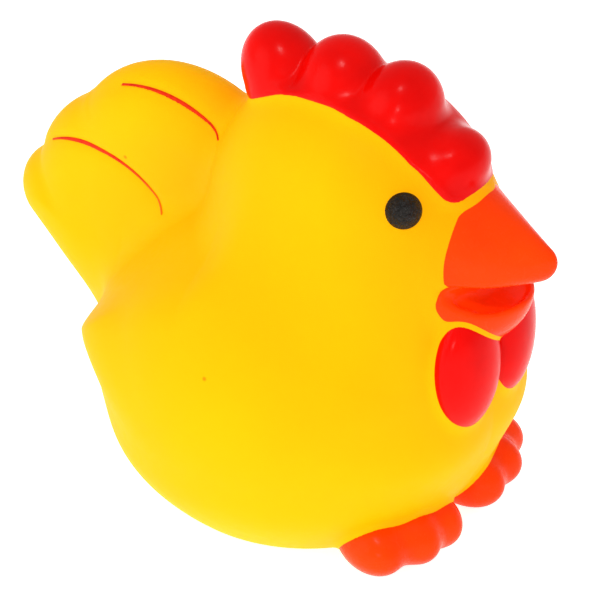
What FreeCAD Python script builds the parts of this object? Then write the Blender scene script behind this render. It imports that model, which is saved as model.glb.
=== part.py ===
"""Round soft-vinyl squeak hen: one hollow moulding in coloured zones, with a squeaker in its base.

Frame: millimetres, +X towards the beak, +Y to the bird's left, +Z up.
The flat base lies on z = 0, and the origin is under the centre of the round body.
"""
import FreeCAD
import Part
import math
import os

V = FreeCAD.Vector
X_AXIS, Y_AXIS, Z_AXIS = V(1, 0, 0), V(0, 1, 0), V(0, 0, 1)

# ---- driving dimensions -------------------------------------------------------------------
BODY_RADIUS = 32.0
BODY_CENTRE = V(0, 0, 24)
HEAD_RADII = (22.8, 17.3, 22.8)
HEAD_CENTRE = V(8, 0, 48.7)
WALL = 2.0                      # vinyl wall thickness
ZONE_GAP = 0.2                  # between the shell and the zones that move with the head

# back of the body, where the tail grows out: centre, radii
RUMP = (V(-14, 0, 34), (19, 17, 17))

# tail feathers, lowest first: root and tip in the XZ plane, half width, half thickness
FEATHERS = [
    ((-18.0, 24.5), (-52.0, 38.0), 7.2, 6.5),
    ((-16.0, 31.0), (-46.5, 51.5), 8.8, 6.8),
    ((-13.0, 36.0), (-31.5, 62.0), 10.3, 6.8),
    ((-9.0, 39.0), (-17.5, 63.5), 8.0, 6.0),
]

# wing, given for the left side: centre, radii along it, across it and up it
WING_CENTRE = V(-9, 20.5, 29)
WING_RADII = (21.5, 12.5, 11.5)
WING_YAW = 8.0                  # nose of the wing turns outwards
WING_PITCH = 9.0                # tip of the wing hangs lower than its nose

# comb lobes, back to front: centre in XZ, half height, half length, half thickness
COMB_LOBES = [
    ((-4.4, 68.5), 7.7, 5.4, 5.4),
    ((6.2, 69.0), 7.3, 6.7, 6.0),
    ((16.0, 68.2), 6.9, 6.4, 5.8),
    ((24.4, 62.4), 5.8, 5.3, 5.4),
]

UPPER_BEAK_CENTRE = V(24, 0, 47.5)
UPPER_BEAK_RADII = (18.0, 8.9, 13.0)
LOWER_BEAK_CENTRE = V(23.5, 0, 44.0)
LOWER_BEAK_RADII = (15.3, 9.0, 9.2)
MOUTH_HINGE_X = 26.0            # the two halves of the beak part in front of here
MOUTH_TOP_Z = 47.5
MOUTH_BOTTOM_Z = 47.1
MOUTH_DROP = 17.0               # degrees that the top of the lower beak slopes down

# wattle and eye, given for the left side
WATTLE_CENTRE = V(31.0, 6.3, 30.8)
WATTLE_RADII = (3.9, 5.8, 7.7)
WATTLE_YAW = 14.0               # its front turns outwards
EYE_X, EYE_Z = 22.65, 59.35       # where the eye sits on the head
EYE_RADIUS = 3.0
EYE_SINK = 1.6                  # how far its centre is under the head's surface

# toes of the left foot, inner first: centre, half length, half width, half height, yaw
TOES = [
    (V(24.9, 5.9, 3.9), 6.1, 3.6, 4.8, 6),
    (V(23.7, 10.6, 4.0), 6.8, 3.9, 5.0, 16),
    (V(21.0, 14.6, 3.8), 7.6, 5.0, 5.0, 30),
]

# squeaker, pressed into a collar in the base
HOLE_RADIUS = 6.5
PRESS = 0.1                     # radial interference of the housing in the hole
COLLAR_RADIUS, COLLAR_TOP = 9.8, 6.0
RECESS_RADIUS, RECESS_DEPTH = 8.4, 1.5
FLANGE_RADIUS, FLANGE_BOTTOM, FLANGE_TOP = 8.0, 0.3, 1.5
HOUSING_TOP = 15.0
HOUSING_BORE = 5.2
HOUSING_LID = 1.2
AIR_HOLE_RADIUS = 1.6
SEAT_RADIUS = 5.15
SEAT_BOTTOM, SEAT_DISC_TOP, SEAT_TOP = 1.0, 3.5, 12.5
TONGUE_RADIUS = 4.2
CHANNEL_WIDTH, CHANNEL_DEPTH, CHANNEL_TOP = 2.4, 2.2, 11.3
CLAMP_TOP = 6.0
LAND_X = 0.3                    # raised land that the reed's root bears on
REED_THICK, REED_WIDTH = 0.2, 4.2
REED_BOTTOM, REED_TOP = 3.8, 12.2
REED_CLEARANCE = 0.15           # each side of the reed, under the clamp

BIG = 200.0


# ---- helpers --------------------------------------------------------------------------------
def ellipsoid(centre, radii, yaw=0.0, pitch=0.0, grow=0.0):
    """Ellipsoid with radii along X, Y and Z, turned about Y by pitch and then about Z by yaw."""
    scale = FreeCAD.Matrix()
    scale.A11, scale.A22, scale.A33 = (radius + grow for radius in radii)
    solid = Part.makeSphere(1.0).transformGeometry(scale)
    solid.rotate(V(0, 0, 0), Y_AXIS, pitch)
    solid.rotate(V(0, 0, 0), Z_AXIS, yaw)
    solid.translate(centre)
    return solid


def upright(root, tip, half_width, half_thick, grow):
    """Ellipsoid in the XZ plane, with its long axis running from root to tip."""
    run, rise = tip[0] - root[0], tip[1] - root[1]
    middle = V((root[0] + tip[0]) / 2, 0, (root[1] + tip[1]) / 2)
    lean = math.degrees(math.atan2(run, rise))
    radii = (half_width, half_thick, math.hypot(run, rise) / 2)
    return ellipsoid(middle, radii, pitch=lean, grow=grow)


def mirror_y(shape):
    return shape.mirror(V(0, 0, 0), Y_AXIS)


def cylinder(radius, bottom, top):
    return Part.makeCylinder(radius, top - bottom, V(0, 0, bottom))


def block(x_range, y_range, z_range):
    low = V(x_range[0], y_range[0], z_range[0])
    size = [high - low_end for low_end, high in (x_range, y_range, z_range)]
    return Part.makeBox(*size, low)


def above(height):
    return block((-BIG, BIG), (-BIG, BIG), (height, BIG))


def fuse(solids):
    return solids[0].multiFuse(solids[1:])


def save(node, shape):
    solids = shape.Solids
    assert solids and all(solid.isValid() for solid in solids), node
    kept = solids[0] if len(solids) == 1 else Part.makeCompound(solids)
    kept.exportStep(f"parts/{node}.step")
    print(f"{node:20s} solids {len(solids)}  volume {kept.Volume:10.2f} mm3")


# ---- the moulding -----------------------------------------------------------------------------
def wing(grow):
    return ellipsoid(WING_CENTRE, WING_RADII, yaw=WING_YAW, pitch=-WING_PITCH, grow=grow)


def yellow_solid(grow, base):
    """Body, head, rump, tail and wings as one solid, grown all round and cut flat at base."""
    radius = BODY_RADIUS + grow
    ball = Part.makeSphere(radius, BODY_CENTRE)
    head = ellipsoid(HEAD_CENTRE, HEAD_RADII, grow=grow)
    rump = ellipsoid(*RUMP, grow=grow)
    feathers = [upright(*feather, grow) for feather in FEATHERS]
    whole = fuse([ball, head, rump, *feathers, wing(grow), mirror_y(wing(grow))])
    return whole.common(above(base))


def comb_solid(grow):
    lobes = []
    for (x, z), half_height, half_length, half_thick in COMB_LOBES:
        lean = math.degrees(math.atan2(x - HEAD_CENTRE.x, z - HEAD_CENTRE.z))
        radii = (half_length, half_thick, half_height)
        lobes.append(ellipsoid(V(x, 0, z), radii, pitch=lean, grow=grow))
    return fuse(lobes)


def upper_beak_solid(grow):
    """Upper half of a long ellipsoid, flat underneath."""
    whole = ellipsoid(UPPER_BEAK_CENTRE, UPPER_BEAK_RADII, grow=grow)
    return whole.common(above(MOUTH_TOP_Z - grow))


def lower_beak_solid(grow):
    """Lower half of a shorter ellipsoid, with a top that slopes down to the tip."""
    whole = ellipsoid(LOWER_BEAK_CENTRE, LOWER_BEAK_RADII, grow=grow)
    mouth = block((-BIG, BIG), (-BIG, BIG), (0, BIG))
    mouth.rotate(V(0, 0, 0), Y_AXIS, MOUTH_DROP)
    mouth.translate(V(MOUTH_HINGE_X, 0, MOUTH_BOTTOM_Z + grow))
    return whole.cut(mouth)


def wattle(keep_clear):
    lobe = ellipsoid(WATTLE_CENTRE, WATTLE_RADII, yaw=WATTLE_YAW)
    return lobe.cut(keep_clear)


def eye(keep_clear):
    """Dome on the head, with its centre sunk along the head's normal."""
    across = (EYE_X - HEAD_CENTRE.x) / HEAD_RADII[0]
    up = (EYE_Z - HEAD_CENTRE.z) / HEAD_RADII[2]
    side = HEAD_RADII[1] * math.sqrt(1 - across ** 2 - up ** 2)
    normal = V(across / HEAD_RADII[0], side / HEAD_RADII[1] ** 2, up / HEAD_RADII[2])
    normal.normalize()
    centre = V(EYE_X, side, EYE_Z) - normal * EYE_SINK
    return Part.makeSphere(EYE_RADIUS, centre).cut(keep_clear)


def foot(keep_clear):
    toes = []
    for centre, half_length, half_width, half_height, yaw in TOES:
        toes.append(ellipsoid(centre, (half_length, half_width, half_height), yaw=yaw))
    return fuse(toes).common(above(0)).cut(keep_clear)


def body_shell(outside, inner_zones):
    """The yellow wall, open into each hollow zone, with the squeaker's collar in its base."""
    shell = outside.cut(yellow_solid(-WALL, WALL))
    shell = shell.cut(fuse(inner_zones))
    shell = shell.fuse(cylinder(COLLAR_RADIUS, WALL / 2, COLLAR_TOP))
    shell = shell.cut(cylinder(HOLE_RADIUS, 0, COLLAR_TOP))
    return shell.cut(cylinder(RECESS_RADIUS, 0, RECESS_DEPTH))


# ---- the squeaker -----------------------------------------------------------------------------
def squeaker_housing():
    body = cylinder(FLANGE_RADIUS, FLANGE_BOTTOM, FLANGE_TOP)
    body = body.fuse(cylinder(HOLE_RADIUS + PRESS, FLANGE_BOTTOM, HOUSING_TOP))
    body = body.cut(cylinder(HOUSING_BORE, FLANGE_BOTTOM, HOUSING_TOP - HOUSING_LID))
    return body.cut(cylinder(AIR_HOLE_RADIUS, 0, HOUSING_TOP))


def squeaker_reed_seat():
    """Disc across the housing, with a half-round tongue and an air channel under the reed."""
    disc = cylinder(SEAT_RADIUS, SEAT_BOTTOM, SEAT_DISC_TOP)
    tongue = cylinder(TONGUE_RADIUS, SEAT_DISC_TOP, SEAT_TOP)
    tongue = tongue.common(block((-BIG, 0), (-BIG, BIG), (0, BIG)))
    half_reed = REED_WIDTH / 2
    land = block((-1, LAND_X), (-half_reed, half_reed), (SEAT_DISC_TOP, CLAMP_TOP))
    half_channel = CHANNEL_WIDTH / 2
    channel = block((-CHANNEL_DEPTH, LAND_X), (-half_channel, half_channel),
                    (SEAT_BOTTOM, CHANNEL_TOP))
    return fuse([disc, tongue, land]).cut(channel)


def squeaker_reed():
    left = LAND_X + REED_CLEARANCE
    half_width = REED_WIDTH / 2
    return block((left, left + REED_THICK), (-half_width, half_width), (REED_BOTTOM, REED_TOP))


def squeaker_reed_clamp():
    left = LAND_X + REED_THICK + 2 * REED_CLEARANCE
    whole = cylinder(TONGUE_RADIUS, SEAT_DISC_TOP, CLAMP_TOP)
    return whole.common(block((left, BIG), (-BIG, BIG), (0, BIG)))


# ---- build --------------------------------------------------------------------------------------
def main():
    os.makedirs("parts", exist_ok=True)
    outside = yellow_solid(0, 0)
    cleared = yellow_solid(ZONE_GAP, 0)

    comb_outer, comb_inner = comb_solid(0), comb_solid(-WALL)
    upper_outer, upper_inner = upper_beak_solid(0), upper_beak_solid(-WALL)
    lower_outer, lower_inner = lower_beak_solid(0), lower_beak_solid(-WALL)

    save("body_shell", body_shell(outside, [comb_inner, upper_inner, lower_inner]))
    save("comb", comb_outer.cut(comb_inner).cut(cleared))
    save("upper_beak", upper_outer.cut(upper_inner).cut(cleared).cut(comb_outer))
    save("lower_beak", lower_outer.cut(lower_inner).cut(cleared))

    left_wattle = wattle(cleared.fuse(lower_outer))
    left_eye = eye(cleared)
    left_foot = foot(outside)
    for name, left in (("wattle", left_wattle), ("eye", left_eye), ("foot", left_foot)):
        save(f"{name}_left", left)
        save(f"{name}_right", mirror_y(left))

    save("squeaker_housing", squeaker_housing())
    save("squeaker_reed_seat", squeaker_reed_seat())
    save("squeaker_reed", squeaker_reed())
    save("squeaker_reed_clamp", squeaker_reed_clamp())


main()
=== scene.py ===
"""A soft vinyl squeaking toy hen: its looks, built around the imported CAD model.

The hen is one hollow moulding with painted zones, and a squeaker pressed into its base. Every
visible zone is a distance field in millimetres in the frame of the CAD model, turned into a
closed mesh and then scaled to metres.
"""

import math

import bpy
import numpy as np
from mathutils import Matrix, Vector


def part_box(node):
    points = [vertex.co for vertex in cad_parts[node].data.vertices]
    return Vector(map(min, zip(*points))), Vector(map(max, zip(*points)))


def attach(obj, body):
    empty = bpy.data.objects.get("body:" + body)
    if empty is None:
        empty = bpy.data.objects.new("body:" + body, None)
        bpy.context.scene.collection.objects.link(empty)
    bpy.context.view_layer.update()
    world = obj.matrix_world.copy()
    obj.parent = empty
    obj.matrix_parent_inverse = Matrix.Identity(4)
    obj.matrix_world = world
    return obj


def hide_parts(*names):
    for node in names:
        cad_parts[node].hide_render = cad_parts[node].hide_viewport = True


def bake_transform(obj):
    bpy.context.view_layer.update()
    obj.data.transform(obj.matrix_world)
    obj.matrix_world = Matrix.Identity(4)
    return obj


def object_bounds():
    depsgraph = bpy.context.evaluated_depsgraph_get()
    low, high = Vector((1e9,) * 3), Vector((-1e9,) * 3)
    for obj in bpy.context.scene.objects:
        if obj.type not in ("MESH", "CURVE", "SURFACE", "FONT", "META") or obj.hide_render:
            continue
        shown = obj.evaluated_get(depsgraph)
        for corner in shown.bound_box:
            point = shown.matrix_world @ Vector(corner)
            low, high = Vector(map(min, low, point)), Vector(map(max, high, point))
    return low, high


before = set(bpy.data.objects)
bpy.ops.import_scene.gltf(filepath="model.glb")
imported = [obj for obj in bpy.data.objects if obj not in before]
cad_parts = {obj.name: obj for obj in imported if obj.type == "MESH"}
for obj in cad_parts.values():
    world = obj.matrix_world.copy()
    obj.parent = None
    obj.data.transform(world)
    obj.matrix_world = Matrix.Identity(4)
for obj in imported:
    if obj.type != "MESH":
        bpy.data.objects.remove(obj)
cad_bounds = [list(corner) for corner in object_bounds()]

MM = 0.001


def point(*values):
    return np.array(values, float)


def node_box(name):
    """Lowest and highest corner of a CAD node, in millimetres."""
    low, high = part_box(name)
    return np.array(low) / MM, np.array(high) / MM


# ---------------------------------------------------------------- camera

CAMERA_AZIMUTH = math.radians(33)
CAMERA_ELEVATION = math.radians(33)
CAMERA_DISTANCE = 0.5                                   # metres
AIM_FROM_BOX_CENTRE = Vector((0.0037, 0.0, -0.0078))    # metres
CAMERA_LENS = 200                                       # millimetres
CAMERA_SENSOR = 36                                      # millimetres


def make_camera():
    low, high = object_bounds()
    aim = (low + high) / 2 + AIM_FROM_BOX_CENTRE
    back = Vector((
        math.sin(CAMERA_AZIMUTH) * math.cos(CAMERA_ELEVATION),
        -math.cos(CAMERA_AZIMUTH) * math.cos(CAMERA_ELEVATION),
        math.sin(CAMERA_ELEVATION),
    ))
    data = bpy.data.cameras.new("camera")
    data.lens = CAMERA_LENS
    data.sensor_width = CAMERA_SENSOR
    camera = bpy.data.objects.new("camera", data)
    camera.location = aim + back * CAMERA_DISTANCE
    camera.rotation_euler = back.to_track_quat("Z", "Y").to_euler()
    bpy.context.scene.collection.objects.link(camera)
    bpy.context.scene.camera = camera


# ---------------------------------------------------------------- distance fields

def smoothstep(low, high, x):
    t = np.clip((x - low) / (high - low), 0.0, 1.0)
    return t * t * (3.0 - 2.0 * t)


def smooth_min(a, b, k):
    """The lower of two fields, with the crease between them filled over a width k."""
    h = np.maximum(k - np.abs(a - b), 0.0) / k
    return np.minimum(a, b) - h * h * k / 4


def smooth_max(a, b, k):
    return -smooth_min(-a, -b, k)


def sphere(p, centre, radius):
    return np.linalg.norm(p - centre, axis=1) - radius


def ellipsoid(p, centre, radii, axes=None):
    """Nearly the distance to an ellipsoid. The columns of axes are its own directions."""
    q = p - centre
    if axes is not None:
        q = q @ axes
    near = np.linalg.norm(q / radii, axis=1)
    steep = np.linalg.norm(q / (radii * radii), axis=1)
    return near * (near - 1.0) / np.maximum(steep, 1e-6)


def round_distance(p):
    """Distance from the upright axis through the origin."""
    return np.hypot(p[:, 0], p[:, 1])


def mirrored(p):
    """Points folded over to the hen's left side, so one shape makes both sides."""
    return np.column_stack((p[:, 0], np.abs(p[:, 1]), p[:, 2]))


def tilted_axes(angle):
    """Directions turned about the Y axis, from up towards the front."""
    c, s = math.cos(angle), math.sin(angle)
    return np.array([[c, 0, s], [0, 1, 0], [-s, 0, c]])


def yawed_axes(angle):
    """Directions turned about the Z axis."""
    c, s = math.cos(angle), math.sin(angle)
    return np.array([[c, -s, 0], [s, c, 0], [0, 0, 1]])


# ---------------------------------------------------------------- the yellow skin

SHELL_HIGH = node_box("body_shell")[1]
BALL_RADIUS = SHELL_HIGH[0]
BALL_CENTRE = point(0, 0, 0.75 * BALL_RADIUS)
SEAT_CENTRE = point(0, 0, 13)
SEAT_RADII = point(28.6, 28.6, 12.5)
SEAT_BLEND = 4.0
BREAST_CENTRE = point(13, 6, 20)
BREAST_RADII = point(18.4, 16.2, 9)
BREAST_BLEND = 5.0
HEAD_RADII = point(22.8, 17.3, 22.8)
HEAD_TOP = SHELL_HIGH[2] + 0.1      # the CAD shell is open under the comb, at the very top
HEAD_CENTRE = point(8, 0, HEAD_TOP - HEAD_RADII[2])
NECK_BLEND_BACK, NECK_BLEND_FRONT = 3.0, 9.0
NECK_BACK_X, NECK_FRONT_X = -14.0, 4.0
BASE_EDGE = 1.6

# The shoulders are cut down behind the neck, on a shelf that rises towards the tail.
SHELF_START = -28.7         # X of the wing tips, where the shelf begins
SHELF_HEIGHT = 36.0         # at its start, on the middle plane
SHELF_RISE = 0.83           # up, for each step forwards
SHELF_FALL = 0.5            # down, for each step outwards
SHELF_ARCH = 2.6
SHELF_LENGTH = 23.0
SHELF_EDGE = 2.0


def shelf_cut(p):
    along = (p[:, 0] - SHELF_START) / SHELF_LENGTH
    arch = SHELF_ARCH * (1 - np.clip(2 * along - 1, -1, 1) ** 2)
    middle_height = SHELF_HEIGHT + SHELF_RISE * SHELF_LENGTH * along + arch
    height = middle_height - SHELF_FALL * np.abs(p[:, 1])
    return (p[:, 2] - height) / math.sqrt(1 + SHELF_RISE ** 2 + SHELF_FALL ** 2)


def torso(p):
    ball = sphere(p, BALL_CENTRE, BALL_RADIUS)
    ball = smooth_min(ball, ellipsoid(p, SEAT_CENTRE, SEAT_RADII), SEAT_BLEND)
    ball = smooth_min(ball, ellipsoid(mirrored(p), BREAST_CENTRE, BREAST_RADII), BREAST_BLEND)
    ball = smooth_max(ball, shelf_cut(p), SHELF_EDGE) - wing_height(p)
    forward = smoothstep(NECK_BACK_X, NECK_FRONT_X, p[:, 0])
    neck_blend = NECK_BLEND_BACK + (NECK_BLEND_FRONT - NECK_BLEND_BACK) * forward
    return smooth_min(ball, ellipsoid(p, HEAD_CENTRE, HEAD_RADII), neck_blend)


# The wings are raised pads with a crisp, slightly arched upper edge. Each one starts at its tip,
# and fades out forwards, downwards and towards the middle plane.
WING_TIP = point(-28.7, 27.0)
WING_RISE = math.radians(32.7)
WING_LENGTH = 27.2
WING_ARCH = 1.9
WING_HEIGHT = 2.2
WING_EDGE = 2.0
WING_TIP_START, WING_TIP_END = -1.2, 1.0
WING_FADE_START, WING_FADE_END = 3.0, 16.0
WING_REACH_AT_TIP, WING_REACH_GROWTH = 9.0, 16.0
WING_REACH_START, WING_REACH_END = -2.0, 16.0
WING_INNER_Y, WING_OUTER_Y = 8.0, 14.0


def wing_height(p):
    dx, dz = p[:, 0] - WING_TIP[0], p[:, 2] - WING_TIP[1]
    along = dx * math.cos(WING_RISE) + dz * math.sin(WING_RISE)
    below = dx * math.sin(WING_RISE) - dz * math.cos(WING_RISE)
    middle = np.clip(2 * along / WING_LENGTH - 1, -1, 1)
    below = below + WING_ARCH * (1 - middle ** 2)
    growth = smoothstep(WING_REACH_START, WING_REACH_END, along)
    reach = WING_REACH_AT_TIP + WING_REACH_GROWTH * growth
    height = WING_HEIGHT * smoothstep(-WING_EDGE / 2, WING_EDGE / 2, below)
    height = height * (1 - smoothstep(0, 1, below / reach))
    tip_end = smoothstep(WING_TIP_START, WING_TIP_END, along)
    height = height * tip_end * (1 - smoothstep(WING_FADE_START, WING_FADE_END, along))
    return height * smoothstep(WING_INNER_Y, WING_OUTER_Y, np.abs(p[:, 1]))


# The tail is a plate of three feathers that overlap like a fan.
TAIL_HALF_THICKNESS = 6.7
TAIL_ROUNDING = 9.5
LOW_FEATHER_TIP, LOW_FEATHER_TIP_RADIUS = point(-44.6, 36.4), 7.1
LOW_FEATHER_ROOT, LOW_FEATHER_ROOT_RADIUS = point(-26, 25.4), 13.0
MIDDLE_FEATHER, MIDDLE_FEATHER_RADIUS = point(-30.2, 38.4), 18.4
TOP_FEATHER, TOP_FEATHER_RADIUS = point(-21.6, 43.3), 20.8
FEATHER_BLEND = 0.8
TAIL_BLEND_LOW, TAIL_BLEND_HIGH = 7.0, 2.6      # with the torso
TAIL_LOW_Z, TAIL_HIGH_Z = 36.0, 50.0


def disc_distance(x, z, centre, radius):
    return np.hypot(x - centre[0], z - centre[1]) - radius


def tapered_distance(x, z, tip, tip_radius, root, root_radius):
    """Distance to the outline round two discs of different radius."""
    length = np.linalg.norm(root - tip)
    direction = (root - tip) / length
    along = (x - tip[0]) * direction[0] + (z - tip[1]) * direction[1]
    across = np.abs((x - tip[0]) * direction[1] - (z - tip[1]) * direction[0])
    slant = (tip_radius - root_radius) / length
    rest = math.sqrt(1 - slant * slant)
    side = along * rest - across * slant
    beside = across * rest + along * slant - tip_radius
    at_tip = np.hypot(across, along) - tip_radius
    at_root = np.hypot(across, along - length) - root_radius
    return np.where(side < 0, at_tip, np.where(side > length * rest, at_root, beside))


def plate(outline, y):
    """An outline in the side view, made a plate with a round rim."""
    inward = np.maximum(outline + TAIL_ROUNDING, 0)
    return np.hypot(inward, y * (TAIL_ROUNDING / TAIL_HALF_THICKNESS)) - TAIL_ROUNDING


def tail(p):
    x, y, z = p.T
    low = tapered_distance(
        x, z, LOW_FEATHER_TIP, LOW_FEATHER_TIP_RADIUS, LOW_FEATHER_ROOT, LOW_FEATHER_ROOT_RADIUS)
    middle = disc_distance(x, z, MIDDLE_FEATHER, MIDDLE_FEATHER_RADIUS)
    top = disc_distance(x, z, TOP_FEATHER, TOP_FEATHER_RADIUS)
    field = plate(low, y)
    for outline in (middle, top):
        field = smooth_min(field, plate(outline, y), FEATHER_BLEND)
    return field + groove_depth(p)


# The grooves between the feathers lie on circles in the side view, with another radius at the rim:
# centre (along X and Z), radius on the face and at the rim, angles where it starts and fades out.
GROOVES = {
    "low": (point(-34.7, 32.4), 17.1, 16.7, math.radians(144), math.radians(33)),
    "top": (point(-23.2, 41.3), 19.8, 20.5, math.radians(139), math.radians(42)),
}
GROOVE_DEPTH, GROOVE_WIDTH = 0.45, 0.75
VALLEY_DEPTH, VALLEY_WIDTH = 0.35, 2.4      # the wider dip that the groove lies in
RIM_SHARE = 0.2             # of the full depth, at the rim of the tail
GROOVE_FADE = math.radians(14)
GROOVE_START = math.radians(5)


def groove_place(p, centre, face_radius, rim_radius):
    """How far each point lies from a groove in the side view, and its angle round the centre."""
    dx, dz = p[:, 0] - centre[0], p[:, 2] - centre[1]
    on_face = smoothstep(0, TAIL_HALF_THICKNESS, np.abs(p[:, 1]))
    away = np.hypot(dx, dz) - (rim_radius + (face_radius - rim_radius) * on_face)
    return away, np.arctan2(dz, dx)


def groove_depth(p):
    depth = np.zeros(len(p))
    for centre, face_radius, rim_radius, start, stop in GROOVES.values():
        away, angle = groove_place(p, centre, face_radius, rim_radius)
        started = smoothstep(-start, GROOVE_START - start, -angle)
        along = smoothstep(stop, stop + GROOVE_FADE, angle) * started
        cut = GROOVE_DEPTH * np.exp(-(away / GROOVE_WIDTH) ** 2)
        cut += VALLEY_DEPTH * np.exp(-(away / VALLEY_WIDTH) ** 2)
        on_face = smoothstep(0, TAIL_HALF_THICKNESS, np.abs(p[:, 1]))
        depth = np.maximum(depth, cut * along * (RIM_SHARE + (1 - RIM_SHARE) * on_face))
    return depth


def skin(p):
    """The yellow moulding without the swelling round the painted zones."""
    up = smoothstep(TAIL_LOW_Z, TAIL_HIGH_Z, p[:, 2])
    tail_blend = TAIL_BLEND_LOW + (TAIL_BLEND_HIGH - TAIL_BLEND_LOW) * up
    return smooth_max(smooth_min(torso(p), tail(p), tail_blend), -p[:, 2], BASE_EDGE)


# ---------------------------------------------------------------- the painted zones

SINK = 1.2        # how far a zone's mesh reaches under the skin


def seated(shape):
    """A zone's shape, cut off a little under the skin that it grows out of."""
    return lambda p: np.maximum(shape(p), -(torso(p) + SINK))


# From back to front: centre (along X and Z), half height along the head's radius, half length,
# half thickness.
COMB_LOBES = [
    (point(-3.8, 68.5), 8.0, 6.4, 5.8),
    (point(6.2, 69.1), 8.0, 6.8, 6.4),
    (point(15.4, 68.3), 7.8, 6.3, 6.4),
    (point(23.6, 62.0), 6.6, 5.3, 6.2),
]
LOBE_BLEND = 0.5

# The comb's painted base, at angles from the top of the head towards the beak.
BAND_ANGLES = [math.radians(a) for a in (-37, -20, 10, 40, 56)]
BAND_HALF_THICKNESS = [5.2, 6.6, 7.7, 7.5, 6.4]
BAND_HEIGHT = 1.1
BAND_EDGE = 0.8
BAND_END_STRETCH = 1.7      # makes its ends blunt
BAND_BLEND = 1.6


def comb_shape(p):
    field = None
    for centre, half_height, half_length, half_thickness in COMB_LOBES:
        out = centre - HEAD_CENTRE[[0, 2]]
        axes = tilted_axes(math.atan2(out[0], out[1]))
        radii = point(half_length, half_thickness, half_height)
        lobe = ellipsoid(p, point(centre[0], 0, centre[1]), radii, axes)
        field = lobe if field is None else smooth_min(field, lobe, LOBE_BLEND)
    return smooth_min(field, comb_band(p), BAND_BLEND)


def comb_band(p):
    """The painted base of the comb, a low pad along the top of the head."""
    dx, dz = p[:, 0] - HEAD_CENTRE[0], p[:, 2] - HEAD_CENTRE[2]
    angle = np.arctan2(dx, dz)
    held = np.clip(angle, BAND_ANGLES[0], BAND_ANGLES[-1])
    half_thickness = np.interp(held, BAND_ANGLES, BAND_HALF_THICKNESS)
    beyond = (angle - held) * np.hypot(dx, dz)
    sideways = np.hypot(p[:, 1], beyond * BAND_END_STRETCH) - half_thickness
    return smooth_max(torso(p) - BAND_HEIGHT, sideways, BAND_EDGE)


MOUTH_Z = node_box("upper_beak")[0][2]
BEAK_ROOT_X = 27.7
BEAK_ROOT_HALF_WIDTH, BEAK_WIDTH_TAPER = 9.6, 0.57
BEAK_ROOT_HEIGHT, BEAK_HEIGHT_TAPER = 13.0, 0.55
BEAK_ROOT_DEPTH = 6.0
BEAK_FLARE = 1.5            # how far behind its root it still grows wider
BEAK_LEAST = 1.0            # of its half width and its height
BEAK_SLOPE = 0.9            # makes the field about as steep as a distance
BEAK_TIP_X = 44.8
BEAK_TIP_ROUNDING = 4.5
BEAK_EDGE, BEAK_TIP_EDGE = 1.4, 6.0
BEAK_EDGE_START, BEAK_EDGE_END = 5.0, 15.0      # forward of its root


def upper_beak_shape(p):
    """Half an elliptic cone with a round tip."""
    forward = np.maximum(p[:, 0] - BEAK_ROOT_X, -BEAK_FLARE)
    half_width = np.maximum(BEAK_ROOT_HALF_WIDTH - BEAK_WIDTH_TAPER * forward, BEAK_LEAST)
    height = np.maximum(BEAK_ROOT_HEIGHT - BEAK_HEIGHT_TAPER * forward, BEAK_LEAST)
    section = np.hypot(p[:, 1] / half_width, (p[:, 2] - MOUTH_Z) / height)
    field = (section - 1) * half_width * BEAK_SLOPE
    field = smooth_max(field, p[:, 0] - BEAK_TIP_X, BEAK_TIP_ROUNDING)
    field = np.maximum(field, BEAK_ROOT_X - BEAK_ROOT_DEPTH - p[:, 0])
    near_tip = smoothstep(BEAK_EDGE_START, BEAK_EDGE_END, forward)
    edge = BEAK_EDGE + (BEAK_TIP_EDGE - BEAK_EDGE) * near_tip
    return smooth_max(field, MOUTH_Z - p[:, 2], edge)


LOWER_BEAK_CENTRE = point(23.5, 0, MOUTH_Z - 3.5)
LOWER_BEAK_RADII = point(13.8, 10.5, 10.5)
MOUTH_HINGE = point(27.5, 0, MOUTH_Z + 0.3)
MOUTH_DROP = math.radians(17)
MOUTH_SAG, SAG_MIDDLE, SAG_HALF_LENGTH = 2.0, 4.5, 6.5
MOUTH_EDGE = 0.9
SCOOP_INSET, SCOOP_DEPTH = 0.9, 0.7
SCOOP_FLOOR_EDGE, SCOOP_RIM_EDGE = 0.8, 0.6


def lower_beak_shape(p):
    """The lower part of an ellipsoid, with a sagging top that is hollowed out a little."""
    outside = ellipsoid(p, LOWER_BEAK_CENTRE, LOWER_BEAK_RADII)
    forward = p[:, 0] - MOUTH_HINGE[0]
    above = (p[:, 2] - MOUTH_HINGE[2]) * math.cos(MOUTH_DROP) + forward * math.sin(MOUTH_DROP)
    above = above + MOUTH_SAG * np.maximum(1 - ((forward - SAG_MIDDLE) / SAG_HALF_LENGTH) ** 2, 0)
    field = smooth_max(outside, above, MOUTH_EDGE)
    scoop = smooth_max(outside + SCOOP_INSET, -(above + SCOOP_DEPTH), SCOOP_FLOOR_EDGE)
    return smooth_max(field, -scoop, SCOOP_RIM_EDGE)


WATTLE_LOW, WATTLE_HIGH = node_box("wattle_left")
WATTLE_RADII = point(3.9, 6.05, 10.2)
WATTLE_YAW = math.radians(14)
WATTLE_REACH = np.hypot(        # along X and Y
    WATTLE_RADII[:2] * math.cos(WATTLE_YAW), WATTLE_RADII[1::-1] * math.sin(WATTLE_YAW))
WATTLE_CENTRE = np.append(WATTLE_HIGH[:2] - WATTLE_REACH, WATTLE_LOW[2] + WATTLE_RADII[2])


def wattle_shape(p):
    return ellipsoid(mirrored(p), WATTLE_CENTRE, WATTLE_RADII, yawed_axes(WATTLE_YAW))


FOOT_LOW, FOOT_HIGH = node_box("foot_left")
FOOT_CENTRE = (FOOT_LOW + FOOT_HIGH) / 2
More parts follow.
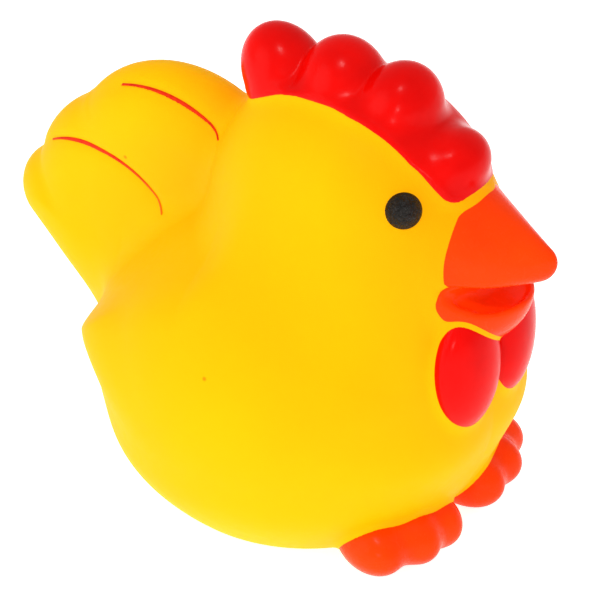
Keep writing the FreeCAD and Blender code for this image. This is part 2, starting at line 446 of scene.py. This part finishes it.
# From the inner toe outwards: centre from the middle of the foot, half length, half width, half
# height, yaw in degrees.
TOES = [
    (point(1.5, -5.4, 0.0), 6.1, 3.8, 4.8, 6),
    (point(0.8, -0.4, 0.3), 6.6, 4.1, 4.8, 16),
    (point(-2.4, 4.1, 0.3), 7.2, 4.8, 4.8, 30),
]
TOE_BLEND = 2.6
SOLE_EDGE = 1.0


def foot_shape(p):
    q = mirrored(p)
    field = None
    for offset, half_length, half_width, half_height, yaw in TOES:
        radii = point(half_length, half_width, half_height)
        toe = ellipsoid(q, FOOT_CENTRE + offset, radii, yawed_axes(math.radians(yaw)))
        field = toe if field is None else smooth_min(field, toe, TOE_BLEND)
    return smooth_max(field, -p[:, 2], SOLE_EDGE)


EYE_LOW, EYE_HIGH = node_box("eye_left")
EYE_RADIUS = 3.0
EYE_SINK = 1.6


def head_point(x, z):
    """Point on the head's left side at this X and Z, and the direction straight out of it."""
    rx, ry, rz = HEAD_RADII
    dx, dz = (x - HEAD_CENTRE[0]) / rx, (z - HEAD_CENTRE[2]) / rz
    y = ry * math.sqrt(1 - dx * dx - dz * dz)
    out = point(dx / rx, y / (ry * ry), dz / rz)
    return point(x, y, z), out / np.linalg.norm(out)


EYE_X, EYE_Z = (EYE_LOW[[0, 2]] + EYE_HIGH[[0, 2]]) / 2
EYE_SPOT, EYE_OUT = head_point(EYE_X, EYE_Z)
EYE_CENTRE = EYE_SPOT - EYE_SINK * EYE_OUT


def eye_shape(p):
    return sphere(mirrored(p), EYE_CENTRE, EYE_RADIUS)


# The painted lines lie in the grooves: angles where each one starts and stops, half of its
# greatest width, and where along it that is.
PAINTED_LINES = {
    "low": (math.radians(122), math.radians(37), 0.30, 0.32),
    "top": (math.radians(112), math.radians(55), 0.21, 0.60),
}
LINE_END_SHARE = 0.45       # of its greatest width, left at either end
PAINT_HEIGHT, PAINT_SINK = 0.22, 0.5    # above and below the skin


def tail_line_shape(name):
    """A thin tapered ribbon of paint on the skin."""
    centre, face_radius, rim_radius, _, _ = GROOVES[name]
    start, stop, greatest, widest_at = PAINTED_LINES[name]

    def shape(p):
        away, angle = groove_place(p, centre, face_radius, rim_radius)
        t = (start - angle) / (start - stop)
        before, after = (widest_at - t) / widest_at, (t - widest_at) / (1 - widest_at)
        from_widest = np.where(t < widest_at, before, after)
        half_width = greatest * (1 - (1 - LINE_END_SHARE) * smoothstep(0, 1, from_widest))
        past_end = (np.abs(2 * t - 1) - 1) * face_radius * (start - stop) / 2
        cover = skin(p)
        film = np.maximum(cover - PAINT_HEIGHT, -(cover + PAINT_SINK))
        return np.maximum(np.maximum(np.abs(away) - half_width, past_end), film)
    return shape


SWELL_UNDER = 0.35      # the skin lies this far under a zone's paint
SWELL_BLEND = 2.0


def swollen_skin(p):
    """The skin, with a small fillet where it meets each zone."""
    field = skin(p)
    zones = (comb_shape, upper_beak_shape, lower_beak_shape, wattle_shape, foot_shape)
    for zone in zones:
        field = smooth_min(field, zone(p) + SWELL_UNDER, SWELL_BLEND)
    return smooth_max(field, -p[:, 2], BASE_EDGE)


LINING_CENTRE = point(28, 0, MOUTH_Z - 2.5)
LINING_RADII = point(6, 10.1, 5.6)
LINING_HEIGHT = 0.25        # above the skin
LINING_EDGE, LINING_BLEND = 0.3, 0.4


def lower_beak_and_lining(p):
    """The lower beak, with the painted skin at the corners of the mouth."""
    place = ellipsoid(p, LINING_CENTRE, LINING_RADII)
    lining = smooth_max(swollen_skin(p) - LINING_HEIGHT, place, LINING_EDGE)
    return smooth_min(lower_beak_shape(p), lining, LINING_BLEND)


WALL = 2.0
HOLE_RADIUS = 6.5
COLLAR_RADIUS, COLLAR_TOP = 9.8, 6.0
FLANGE_RADIUS = node_box("squeaker_housing")[1][0]
FLANGE_GAP = 0.4
RECESS_RADIUS = FLANGE_RADIUS + FLANGE_GAP
RECESS_DEPTH = 1.5
COLLAR_BLEND = 1.5
HOLE_EDGE = 0.4


def body_shape(p):
    """The hollow moulding, with the collar and the hole that hold the squeaker."""
    outside = swollen_skin(p)
    out = round_distance(p)
    collar = np.maximum(out - COLLAR_RADIUS, p[:, 2] - COLLAR_TOP)
    hole = np.maximum(out - HOLE_RADIUS, p[:, 2] - COLLAR_TOP - COLLAR_BLEND)
    recess = np.maximum(out - RECESS_RADIUS, p[:, 2] - RECESS_DEPTH)
    field = np.maximum(outside, -(outside + WALL))
    field = smooth_min(field, np.maximum(collar, outside), COLLAR_BLEND)
    field = smooth_max(field, -hole, HOLE_EDGE)
    return smooth_max(field, -recess, HOLE_EDGE)


# ---------------------------------------------------------------- fields to meshes

COARSE = 4              # a coarse cell is this many fine cells wide
NEAR_COARSE = 1.8       # coarse cells from the surface within which fine cells are worked out
PADDING = 2.5           # fine cells added round the box
LEAST_SLOPE = 0.05      # of the field, squared
LONGEST_STEP = 0.5      # of a vertex, for a slope of 1
RELAXING = 0.6          # share of the way to the middle of a vertex's neighbours
SMOOTHING_ROUNDS = 2
CORNERS = [(i, j, k) for i in (0, 1) for j in (0, 1) for k in (0, 1)]
RING = ((0, 0), (-1, 0), (-1, -1), (0, -1))     # the four cells round an edge of the grid


def sampled(field, low, cell, blocks):
    """Values on a grid, worked out only near the surface, and the sign elsewhere."""
    coarse_axes = [low[i] + cell * COARSE * (np.arange(blocks[i]) + 0.5) for i in range(3)]
    grid = np.stack(np.meshgrid(*coarse_axes, indexing="ij"), -1).reshape(-1, 3)
    coarse = field(grid).reshape(blocks)
    values = coarse
    for axis in range(3):
        values = np.repeat(values, COARSE, axis)
    fine_axes = [low[i] + cell * (np.arange(blocks[i] * COARSE) + 0.5) for i in range(3)]
    near = np.argwhere(np.abs(values) < cell * COARSE * NEAR_COARSE)
    spots = np.column_stack([fine_axes[i][near[:, i]] for i in range(3)])
    values = values.copy()
    values[tuple(near.T)] = field(spots)
    return values


def surface_cells(inside):
    """Cells whose corners aren't all on one side of the surface, and each one's number."""
    x, y, z = inside.shape
    counts = sum(inside[i:x - 1 + i, j:y - 1 + j, k:z - 1 + k].astype(int) for i, j, k in CORNERS)
    cells = np.argwhere((counts > 0) & (counts < len(CORNERS)))
    number = -np.ones(counts.shape, int)
    number[tuple(cells.T)] = np.arange(len(cells))
    return cells, number


def cell_vertices(values, cells):
    """One vertex a cell, in the middle of the places where its edges cross the surface."""
    corner_values = {corner: values[tuple((cells + corner).T)] for corner in CORNERS}
    total = np.zeros((len(cells), 3))
    crossings = np.zeros(len(cells))
    for a in CORNERS:
        for axis in range(3):
            if a[axis]:
                continue
            b = tuple(1 if i == axis else a[i] for i in range(3))
            va, vb = corner_values[a], corner_values[b]
            crossing = (va < 0) != (vb < 0)
            t = np.where(crossing, va / np.where(crossing, va - vb, 1.0), 0.0)
            spot = np.tile(np.array(a, float), (len(cells), 1))
            spot[:, axis] += t
            total += spot * crossing[:, None]
            crossings += crossing
    return cells + total / crossings[:, None]


def edge_quads(inside, number):
    """One quad for each edge of the grid that crosses the surface, between the four cells round it."""
    quads = []
    for axis in range(3):
        u, v = (axis + 1) % 3, (axis + 2) % 3
        here = inside.take(range(inside.shape[axis] - 1), axis)
        there = inside.take(range(1, inside.shape[axis]), axis)
        for crossed, order in ((here & ~there, 1), (~here & there, -1)):
            edges = np.argwhere(crossed)
            ring = []
            for du, dv in RING[::order]:
                step = np.zeros(3, int)
                step[u], step[v] = du, dv
                ring.append(number[tuple((edges + step).T)])
            quads.append(np.column_stack(ring))
    return np.concatenate(quads)


def surface_net(values, low, cell):
    """Vertices and quads of the surface where the values change sign."""
    inside = values < 0
    cells, number = surface_cells(inside)
    return low + cell * (cell_vertices(values, cells) + 0.5), edge_quads(inside, number)


TETRAHEDRON = np.array([(1, 1, 1), (1, -1, -1), (-1, 1, -1), (-1, -1, 1)], float)


def projected(field, vertices, reach):
    """Vertices moved along the slope onto the surface itself."""
    around = [field(vertices + reach * corner) for corner in TETRAHEDRON]
    value = sum(around) / 4
    slope = sum(a[:, None] * corner for a, corner in zip(around, TETRAHEDRON)) / (4 * reach)
    steep = np.maximum((slope * slope).sum(1), LEAST_SLOPE)
    return vertices - np.clip(value / steep, -LONGEST_STEP, LONGEST_STEP)[:, None] * slope


def relaxed(vertices, quads):
    """Each vertex moved towards the middle of its neighbours."""
    total = np.zeros_like(vertices)
    count = np.zeros(len(vertices))
    for a, b in ((0, 1), (1, 2), (2, 3), (3, 0)):
        for one, other in ((a, b), (b, a)):
            places = vertices[quads[:, other]]
            for axis in range(3):
                total[:, axis] += np.bincount(quads[:, one], places[:, axis], len(vertices))
            count += np.bincount(quads[:, one], minlength=len(vertices))
    return vertices + RELAXING * (total / count[:, None] - vertices)


def meshed(field, box, cell):
    """Vertices and quads of a field's surface inside a box, in millimetres."""
    low, high = box
    low = low - PADDING * cell
    blocks = [math.ceil((high[i] + PADDING * cell - low[i]) / (cell * COARSE)) for i in range(3)]
    vertices, quads = surface_net(sampled(field, low, cell, blocks), low, cell)
    for _ in range(SMOOTHING_ROUNDS):
        vertices = projected(field, relaxed(vertices, quads), cell / 3)
    return projected(field, vertices, cell / 6), quads


# ---------------------------------------------------------------- pieces


def make_object(name, vertices, faces, material):
    mesh = bpy.data.meshes.new(name)
    mesh.vertices.add(len(vertices))
    mesh.vertices.foreach_set("co", (vertices * MM).astype(np.float32).ravel())
    mesh.loops.add(faces.size)
    mesh.loops.foreach_set("vertex_index", faces.astype(np.int32).ravel())
    mesh.polygons.add(len(faces))
    mesh.polygons.foreach_set("loop_start", np.arange(len(faces), dtype=np.int32) * faces.shape[1])
    mesh.update(calc_edges=True)
    mesh.shade_smooth()
    mesh.materials.append(material)
    piece = bpy.data.objects.new(name, mesh)
    bpy.context.scene.collection.objects.link(piece)
    return piece


def squeezed(piece):
    """The piece's placement is baked into its mesh, and it is left without a parent."""
    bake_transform(piece)


def standing(piece):
    """The piece stays with the base."""
    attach(piece, "base")


def one_side(field, side):
    """The part of a mirrored field on one side of the middle plane."""
    return lambda p: np.maximum(field(p), -side * p[:, 1])


# ---------------------------------------------------------------- materials

NOISE_RANGE = (0.3, 0.7)
MIX_AMOUNT, MIX_FIRST, MIX_SECOND, MIX_RESULT = 0, 6, 7, 2      # sockets of a Mix node for colours


class Recipe:
    """A material's node tree, with short calls for the nodes that the recipes share."""

    def __init__(self, name, roughness, **settings):
        self.material = bpy.data.materials.new(name)
        self.material.use_nodes = True
        self.tree = self.material.node_tree
        self.shader = self.tree.nodes["Principled BSDF"]
        self.place = self.add("ShaderNodeTexCoord").outputs["Object"]
        for socket, value in settings.items():
            self.shader.inputs[socket.replace("_", " ")].default_value = value
        fine = self.noise(900, 3)
        self.link(self.between(fine, roughness[0], roughness[1]), self.shader.inputs["Roughness"])

    def add(self, kind, **values):
        made = self.tree.nodes.new(kind)
        for name, value in values.items():
            if name in made.inputs:
                made.inputs[name].default_value = value
            else:
                setattr(made, name, value)
        return made

    def link(self, output, socket):
        self.tree.links.new(output, socket)

    def noise(self, scale, detail=2, distortion=0.0):
        made = self.add("ShaderNodeTexNoise", Scale=scale, Detail=detail, Distortion=distortion)
        self.link(self.place, made.inputs["Vector"])
        return made.outputs["Fac"]

    def between(self, value, low, high, start=NOISE_RANGE[0], stop=NOISE_RANGE[1]):
        """The value's range from start to stop, stretched to the range from low to high."""
        made = self.add("ShaderNodeMapRange")
        for name, number in (("From Min", start), ("From Max", stop), ("To Min", low), ("To Max", high)):
            made.inputs[name].default_value = number
        self.link(value, made.inputs["Value"])
        return made.outputs["Result"]

    def ramp(self, value, first, second):
        """From one colour to another, over the range that a noise mostly keeps to."""
        made = self.add("ShaderNodeValToRGB")
        stops = zip(made.color_ramp.elements, NOISE_RANGE, (first, second))
        for element, position, colour in stops:
            element.position = position
            element.color = (*colour, 1)
        self.link(value, made.inputs["Fac"])
        return made.outputs["Color"]

    def mix(self, amount, first, second):
        """A colour output, tinted with a plain colour by an amount."""
        made = self.add("ShaderNodeMix", data_type="RGBA")
        self.link(amount, made.inputs[MIX_AMOUNT])
        self.link(first, made.inputs[MIX_FIRST])
        made.inputs[MIX_SECOND].default_value = (*second, 1)
        return made.outputs[MIX_RESULT]

    def colour(self, output):
        self.link(output, self.shader.inputs["Base Color"])

    def bump(self, heights):
        """Heights are (value, size in metres), each stacked on the last."""
        normal = None
        for value, size in heights:
            made = self.add("ShaderNodeBump", Strength=1.0, Distance=size)
            self.link(value, made.inputs["Height"])
            if normal is not None:
                self.link(normal, made.inputs["Normal"])
            normal = made.outputs["Normal"]
        self.link(normal, self.shader.inputs["Normal"])


# The yellow is painted a deeper orange on the face and in the valley between the head and the tail, as
# painted shade for those hollows:
# the middle of the place, how far the full tint reaches and where it ends, in metres.
PAINTED_SHADE_PLACES = [
    ((0.034, 0.0, 0.058), 0.013, 0.027),
    ((-0.012, 0.0, 0.053), 0.005, 0.017),
]


def yellow_vinyl():
    recipe = Recipe(
        "yellow_vinyl", (0.46, 0.56), IOR=1.5, Specular_IOR_Level=0.03,
        Subsurface_Weight=0.12, Subsurface_Radius=(1.0, 0.45, 0.08), Subsurface_Scale=0.0015,
    )
    clouds = recipe.ramp(recipe.noise(55, 3), (0.97, 0.462, 0.0003), (1.0, 0.487, 0.0004))
    spots = recipe.add("ShaderNodeTexVoronoi", Scale=70.0)
    recipe.link(recipe.place, spots.inputs["Vector"])
    speck = recipe.between(spots.outputs["Distance"], 1.0, 0.0, 0.012, 0.03)
    yellow = recipe.mix(speck, clouds, (0.85, 0.26, 0.001))
    # Painted shade: the yellow is tinted deeper orange near each of these places.
    for middle, near, far in PAINTED_SHADE_PLACES:
        away = recipe.add("ShaderNodeVectorMath", operation="DISTANCE")
        recipe.link(recipe.place, away.inputs[0])
        away.inputs[1].default_value = middle
        painted_shade = recipe.between(away.outputs["Value"], 1.0, 0.0, near, far)
        yellow = recipe.mix(painted_shade, yellow, (1.0, 0.40, 0.0003))
    recipe.colour(yellow)
    recipe.bump([(recipe.noise(420, 3), 0.00004), (recipe.noise(2600, 2), 0.000012)])
    return recipe.material


def red_vinyl():
    recipe = Recipe("red_vinyl", (0.19, 0.27), IOR=1.5, Specular_IOR_Level=0.07)
    recipe.colour(recipe.ramp(recipe.noise(160, 4), (0.68, 0.0010, 0.0004), (0.80, 0.0018, 0.0006)))
    recipe.bump([(recipe.noise(650, 3), 0.00003), (recipe.noise(2400, 2), 0.00001)])
    return recipe.material


THINNED_HEIGHTS = (0.0415, 0.0485)      # metres, where the paint is thinnest and where it is full


def line_paint():
    """The red of the tail lines, thinned out towards the lower end of the longer one."""
    recipe = Recipe("line_paint", (0.36, 0.48), IOR=1.5, Specular_IOR_Level=0.08)
    red = recipe.ramp(recipe.noise(700, 4), (0.62, 0.012, 0.0006), (0.78, 0.035, 0.0008))
    height = recipe.add("ShaderNodeSeparateXYZ")
    recipe.link(recipe.place, height.inputs["Vector"])
    thinned = recipe.between(height.outputs["Z"], 0.85, 0.0, *THINNED_HEIGHTS)
    recipe.colour(recipe.mix(thinned, red, (0.95, 0.24, 0.0006)))
    recipe.bump([(recipe.noise(1400, 3), 0.00002)])
    return recipe.material


def orange_vinyl():
    recipe = Recipe("orange_vinyl", (0.22, 0.30), IOR=1.5, Specular_IOR_Level=0.06)
    recipe.colour(recipe.ramp(recipe.noise(150, 4), (0.94, 0.043, 0.0004), (1.0, 0.053, 0.0006)))
    recipe.bump([(recipe.noise(600, 3), 0.00003), (recipe.noise(2400, 2), 0.00001)])
    return recipe.material


def black_paint():
    recipe = Recipe("black_paint", (0.22, 0.32), IOR=1.5, Specular_IOR_Level=0.22)
    recipe.colour(recipe.ramp(recipe.noise(900, 4), (0.004, 0.003, 0.002), (0.012, 0.008, 0.005)))
    recipe.bump([(recipe.noise(1000, 3, 1.5), 0.0009)])
    return recipe.material


def white_plastic():
    recipe = Recipe("white_plastic", (0.24, 0.34), IOR=1.49, Specular_IOR_Level=0.5)
    recipe.colour(recipe.ramp(recipe.noise(120, 3), (0.80, 0.79, 0.75), (0.86, 0.85, 0.82)))
    recipe.bump([(recipe.noise(900, 3), 0.00002)])
    return recipe.material


def reed_film():
    recipe = Recipe("reed_film", (0.35, 0.5), IOR=1.49, Specular_IOR_Level=0.5)
    recipe.colour(recipe.ramp(recipe.noise(400, 3), (0.62, 0.63, 0.60), (0.72, 0.72, 0.68)))
    recipe.bump([(recipe.noise(1200, 3), 0.00002)])
    return recipe.material


def floor_paper():
    """A plain white light table, which glows."""
    recipe = Recipe("floor_paper", (0.75, 0.9), IOR=1.45, Specular_IOR_Level=0.1, Emission_Strength=0.95)
    pale = recipe.ramp(recipe.noise(8, 4), (0.86, 0.86, 0.86), (0.90, 0.90, 0.90))
    recipe.colour(pale)
    recipe.link(pale, recipe.shader.inputs["Emission Color"])
    return recipe.material


# ---------------------------------------------------------------- building

MARGIN = 4.5            # round a CAD node's box, for the piece that replaces it
TAIL_REACH = 9.0        # further out than the tail's faces
LINE_MARGIN = 1.0       # round a groove's circle
BODY_CELL, COMB_CELL, ZONE_CELL, EYE_CELL, LINE_CELL = 0.5, 0.4, 0.35, 0.18, 0.13

# Name of the node, shape, cell and material slot.
MIDDLE_ZONES = (
    ("comb", comb_shape, COMB_CELL, "red_vinyl"),
    ("upper_beak", upper_beak_shape, ZONE_CELL, "orange_vinyl"),
    ("lower_beak", lower_beak_and_lining, ZONE_CELL, "orange_vinyl"),
)
# Start of the node's name, shape, cell, material slot, and what makes it move.
PAIRED_ZONES = (
    ("wattle", wattle_shape, ZONE_CELL, "red_vinyl", squeezed),
    ("eye", eye_shape, EYE_CELL, "black_paint", squeezed),
    ("foot", foot_shape, ZONE_CELL, "orange_vinyl", standing),
)
SIDE_WORDS = ((1, "left"), (-1, "right"))


def line_box(name, side):
    """Corners round the upper half of a groove's circle, on one side of the tail."""
    centre, face_radius, rim_radius, _, _ = GROOVES[name]
    reach = max(face_radius, rim_radius) + LINE_MARGIN
    low = point(centre[0] - reach, min(side, 0) * TAIL_REACH, centre[1])
    high = point(centre[0] + reach, max(side, 0) * TAIL_REACH, centre[1] + reach)
    return low, high


def grown_box(name):
    low, high = node_box(name)
    return low - MARGIN, high + MARGIN


def build_zone(node, field, cell, slot, paint):
    """A piece that stands for a CAD node."""
    piece = make_object("hen_" + node, *meshed(field, grown_box(node), cell), paint[slot])
    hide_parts(node)
    return piece


def build_body(paint):
    low, high = (np.array(corner) / MM for corner in cad_bounds)
    mesh = meshed(body_shape, (low - MARGIN, high + MARGIN), BODY_CELL)
    body = make_object("hen_body", *mesh, paint["yellow_vinyl"])
    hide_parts("body_shell")
    squeezed(body)


def build_tail_line(name, side, word, paint):
    field = one_side(tail_line_shape(name), side)
    mesh = meshed(field, line_box(name, side), LINE_CELL)
    line = make_object(f"hen_tail_line_{name}_{word}", *mesh, paint["line_paint"])
    squeezed(line)


def build_hen(paint):
    build_body(paint)
    for node, shape, cell, slot in MIDDLE_ZONES:
        squeezed(build_zone(node, seated(shape), cell, slot, paint))
    for side, word in SIDE_WORDS:
        for name in PAINTED_LINES:
            build_tail_line(name, side, word, paint)
        for name, shape, cell, slot, moves in PAIRED_ZONES:
            field = one_side(seated(shape), side)
            moves(build_zone(f"{name}_{word}", field, cell, slot, paint))


def finish_squeaker(paint):
    for name in ("squeaker_housing", "squeaker_reed_seat", "squeaker_reed_clamp"):
        dress(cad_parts[name], paint["white_plastic"])
    dress(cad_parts["squeaker_reed"], paint["reed_film"])


def dress(piece, material):
    piece.data.materials.clear()
    piece.data.materials.append(material)


# ---------------------------------------------------------------- stage

FLOOR_HALF = 1500.0         # millimetres
FLOOR_Z = -0.2


def make_floor(material):
    square = ((-1, -1), (1, -1), (1, 1), (-1, 1))
    corners = np.array([(x * FLOOR_HALF, y * FLOOR_HALF, FLOOR_Z) for x, y in square])
    floor = make_object("floor", corners, np.array([[0, 1, 2, 3]]), material)


WORLD_STRENGTH = 0.72
# Name, place, height on the upright axis that it aims at, width (all in metres), power in watts.
SOFTBOXES = (
    ("side softbox", (-0.42, -0.62, 0.28), 0.03, 0.6, 1.1),
    ("front softbox", (0.26, -0.71, 0.22), 0.03, 0.06, 0.45),
    ("overhead softbox", (0.08, -0.36, 0.70), 0.04, 0.10, 1.2),
)


def add_softbox(name, place, aim_height, width, power):
    data = bpy.data.lights.new(name, "AREA")
    data.shape = "DISK"
    data.size = width
    data.energy = power
    light = bpy.data.objects.new(name, data)
    light.location = place
    back = Vector(place) - Vector((0, 0, aim_height))
    light.rotation_euler = back.to_track_quat("Z", "Y").to_euler()
    bpy.context.scene.collection.objects.link(light)


def make_light():
    world = bpy.data.worlds.new("studio")
    bpy.context.scene.world = world
    world.use_nodes = True
    background = world.node_tree.nodes["Background"]
    background.inputs["Color"].default_value = (1, 1, 1, 1)
    background.inputs["Strength"].default_value = WORLD_STRENGTH
    for softbox in SOFTBOXES:
        add_softbox(*softbox)
    scene = bpy.context.scene
    scene.view_settings.view_transform = "Standard"
    scene.view_settings.look = "None"


make_camera()
paint = {make.__name__: make() for make in (
    yellow_vinyl, red_vinyl, line_paint, orange_vinyl, black_paint, white_plastic, reed_film, floor_paper,
)}
build_hen(paint)
finish_squeaker(paint)
make_floor(paint["floor_paper"])
make_light()
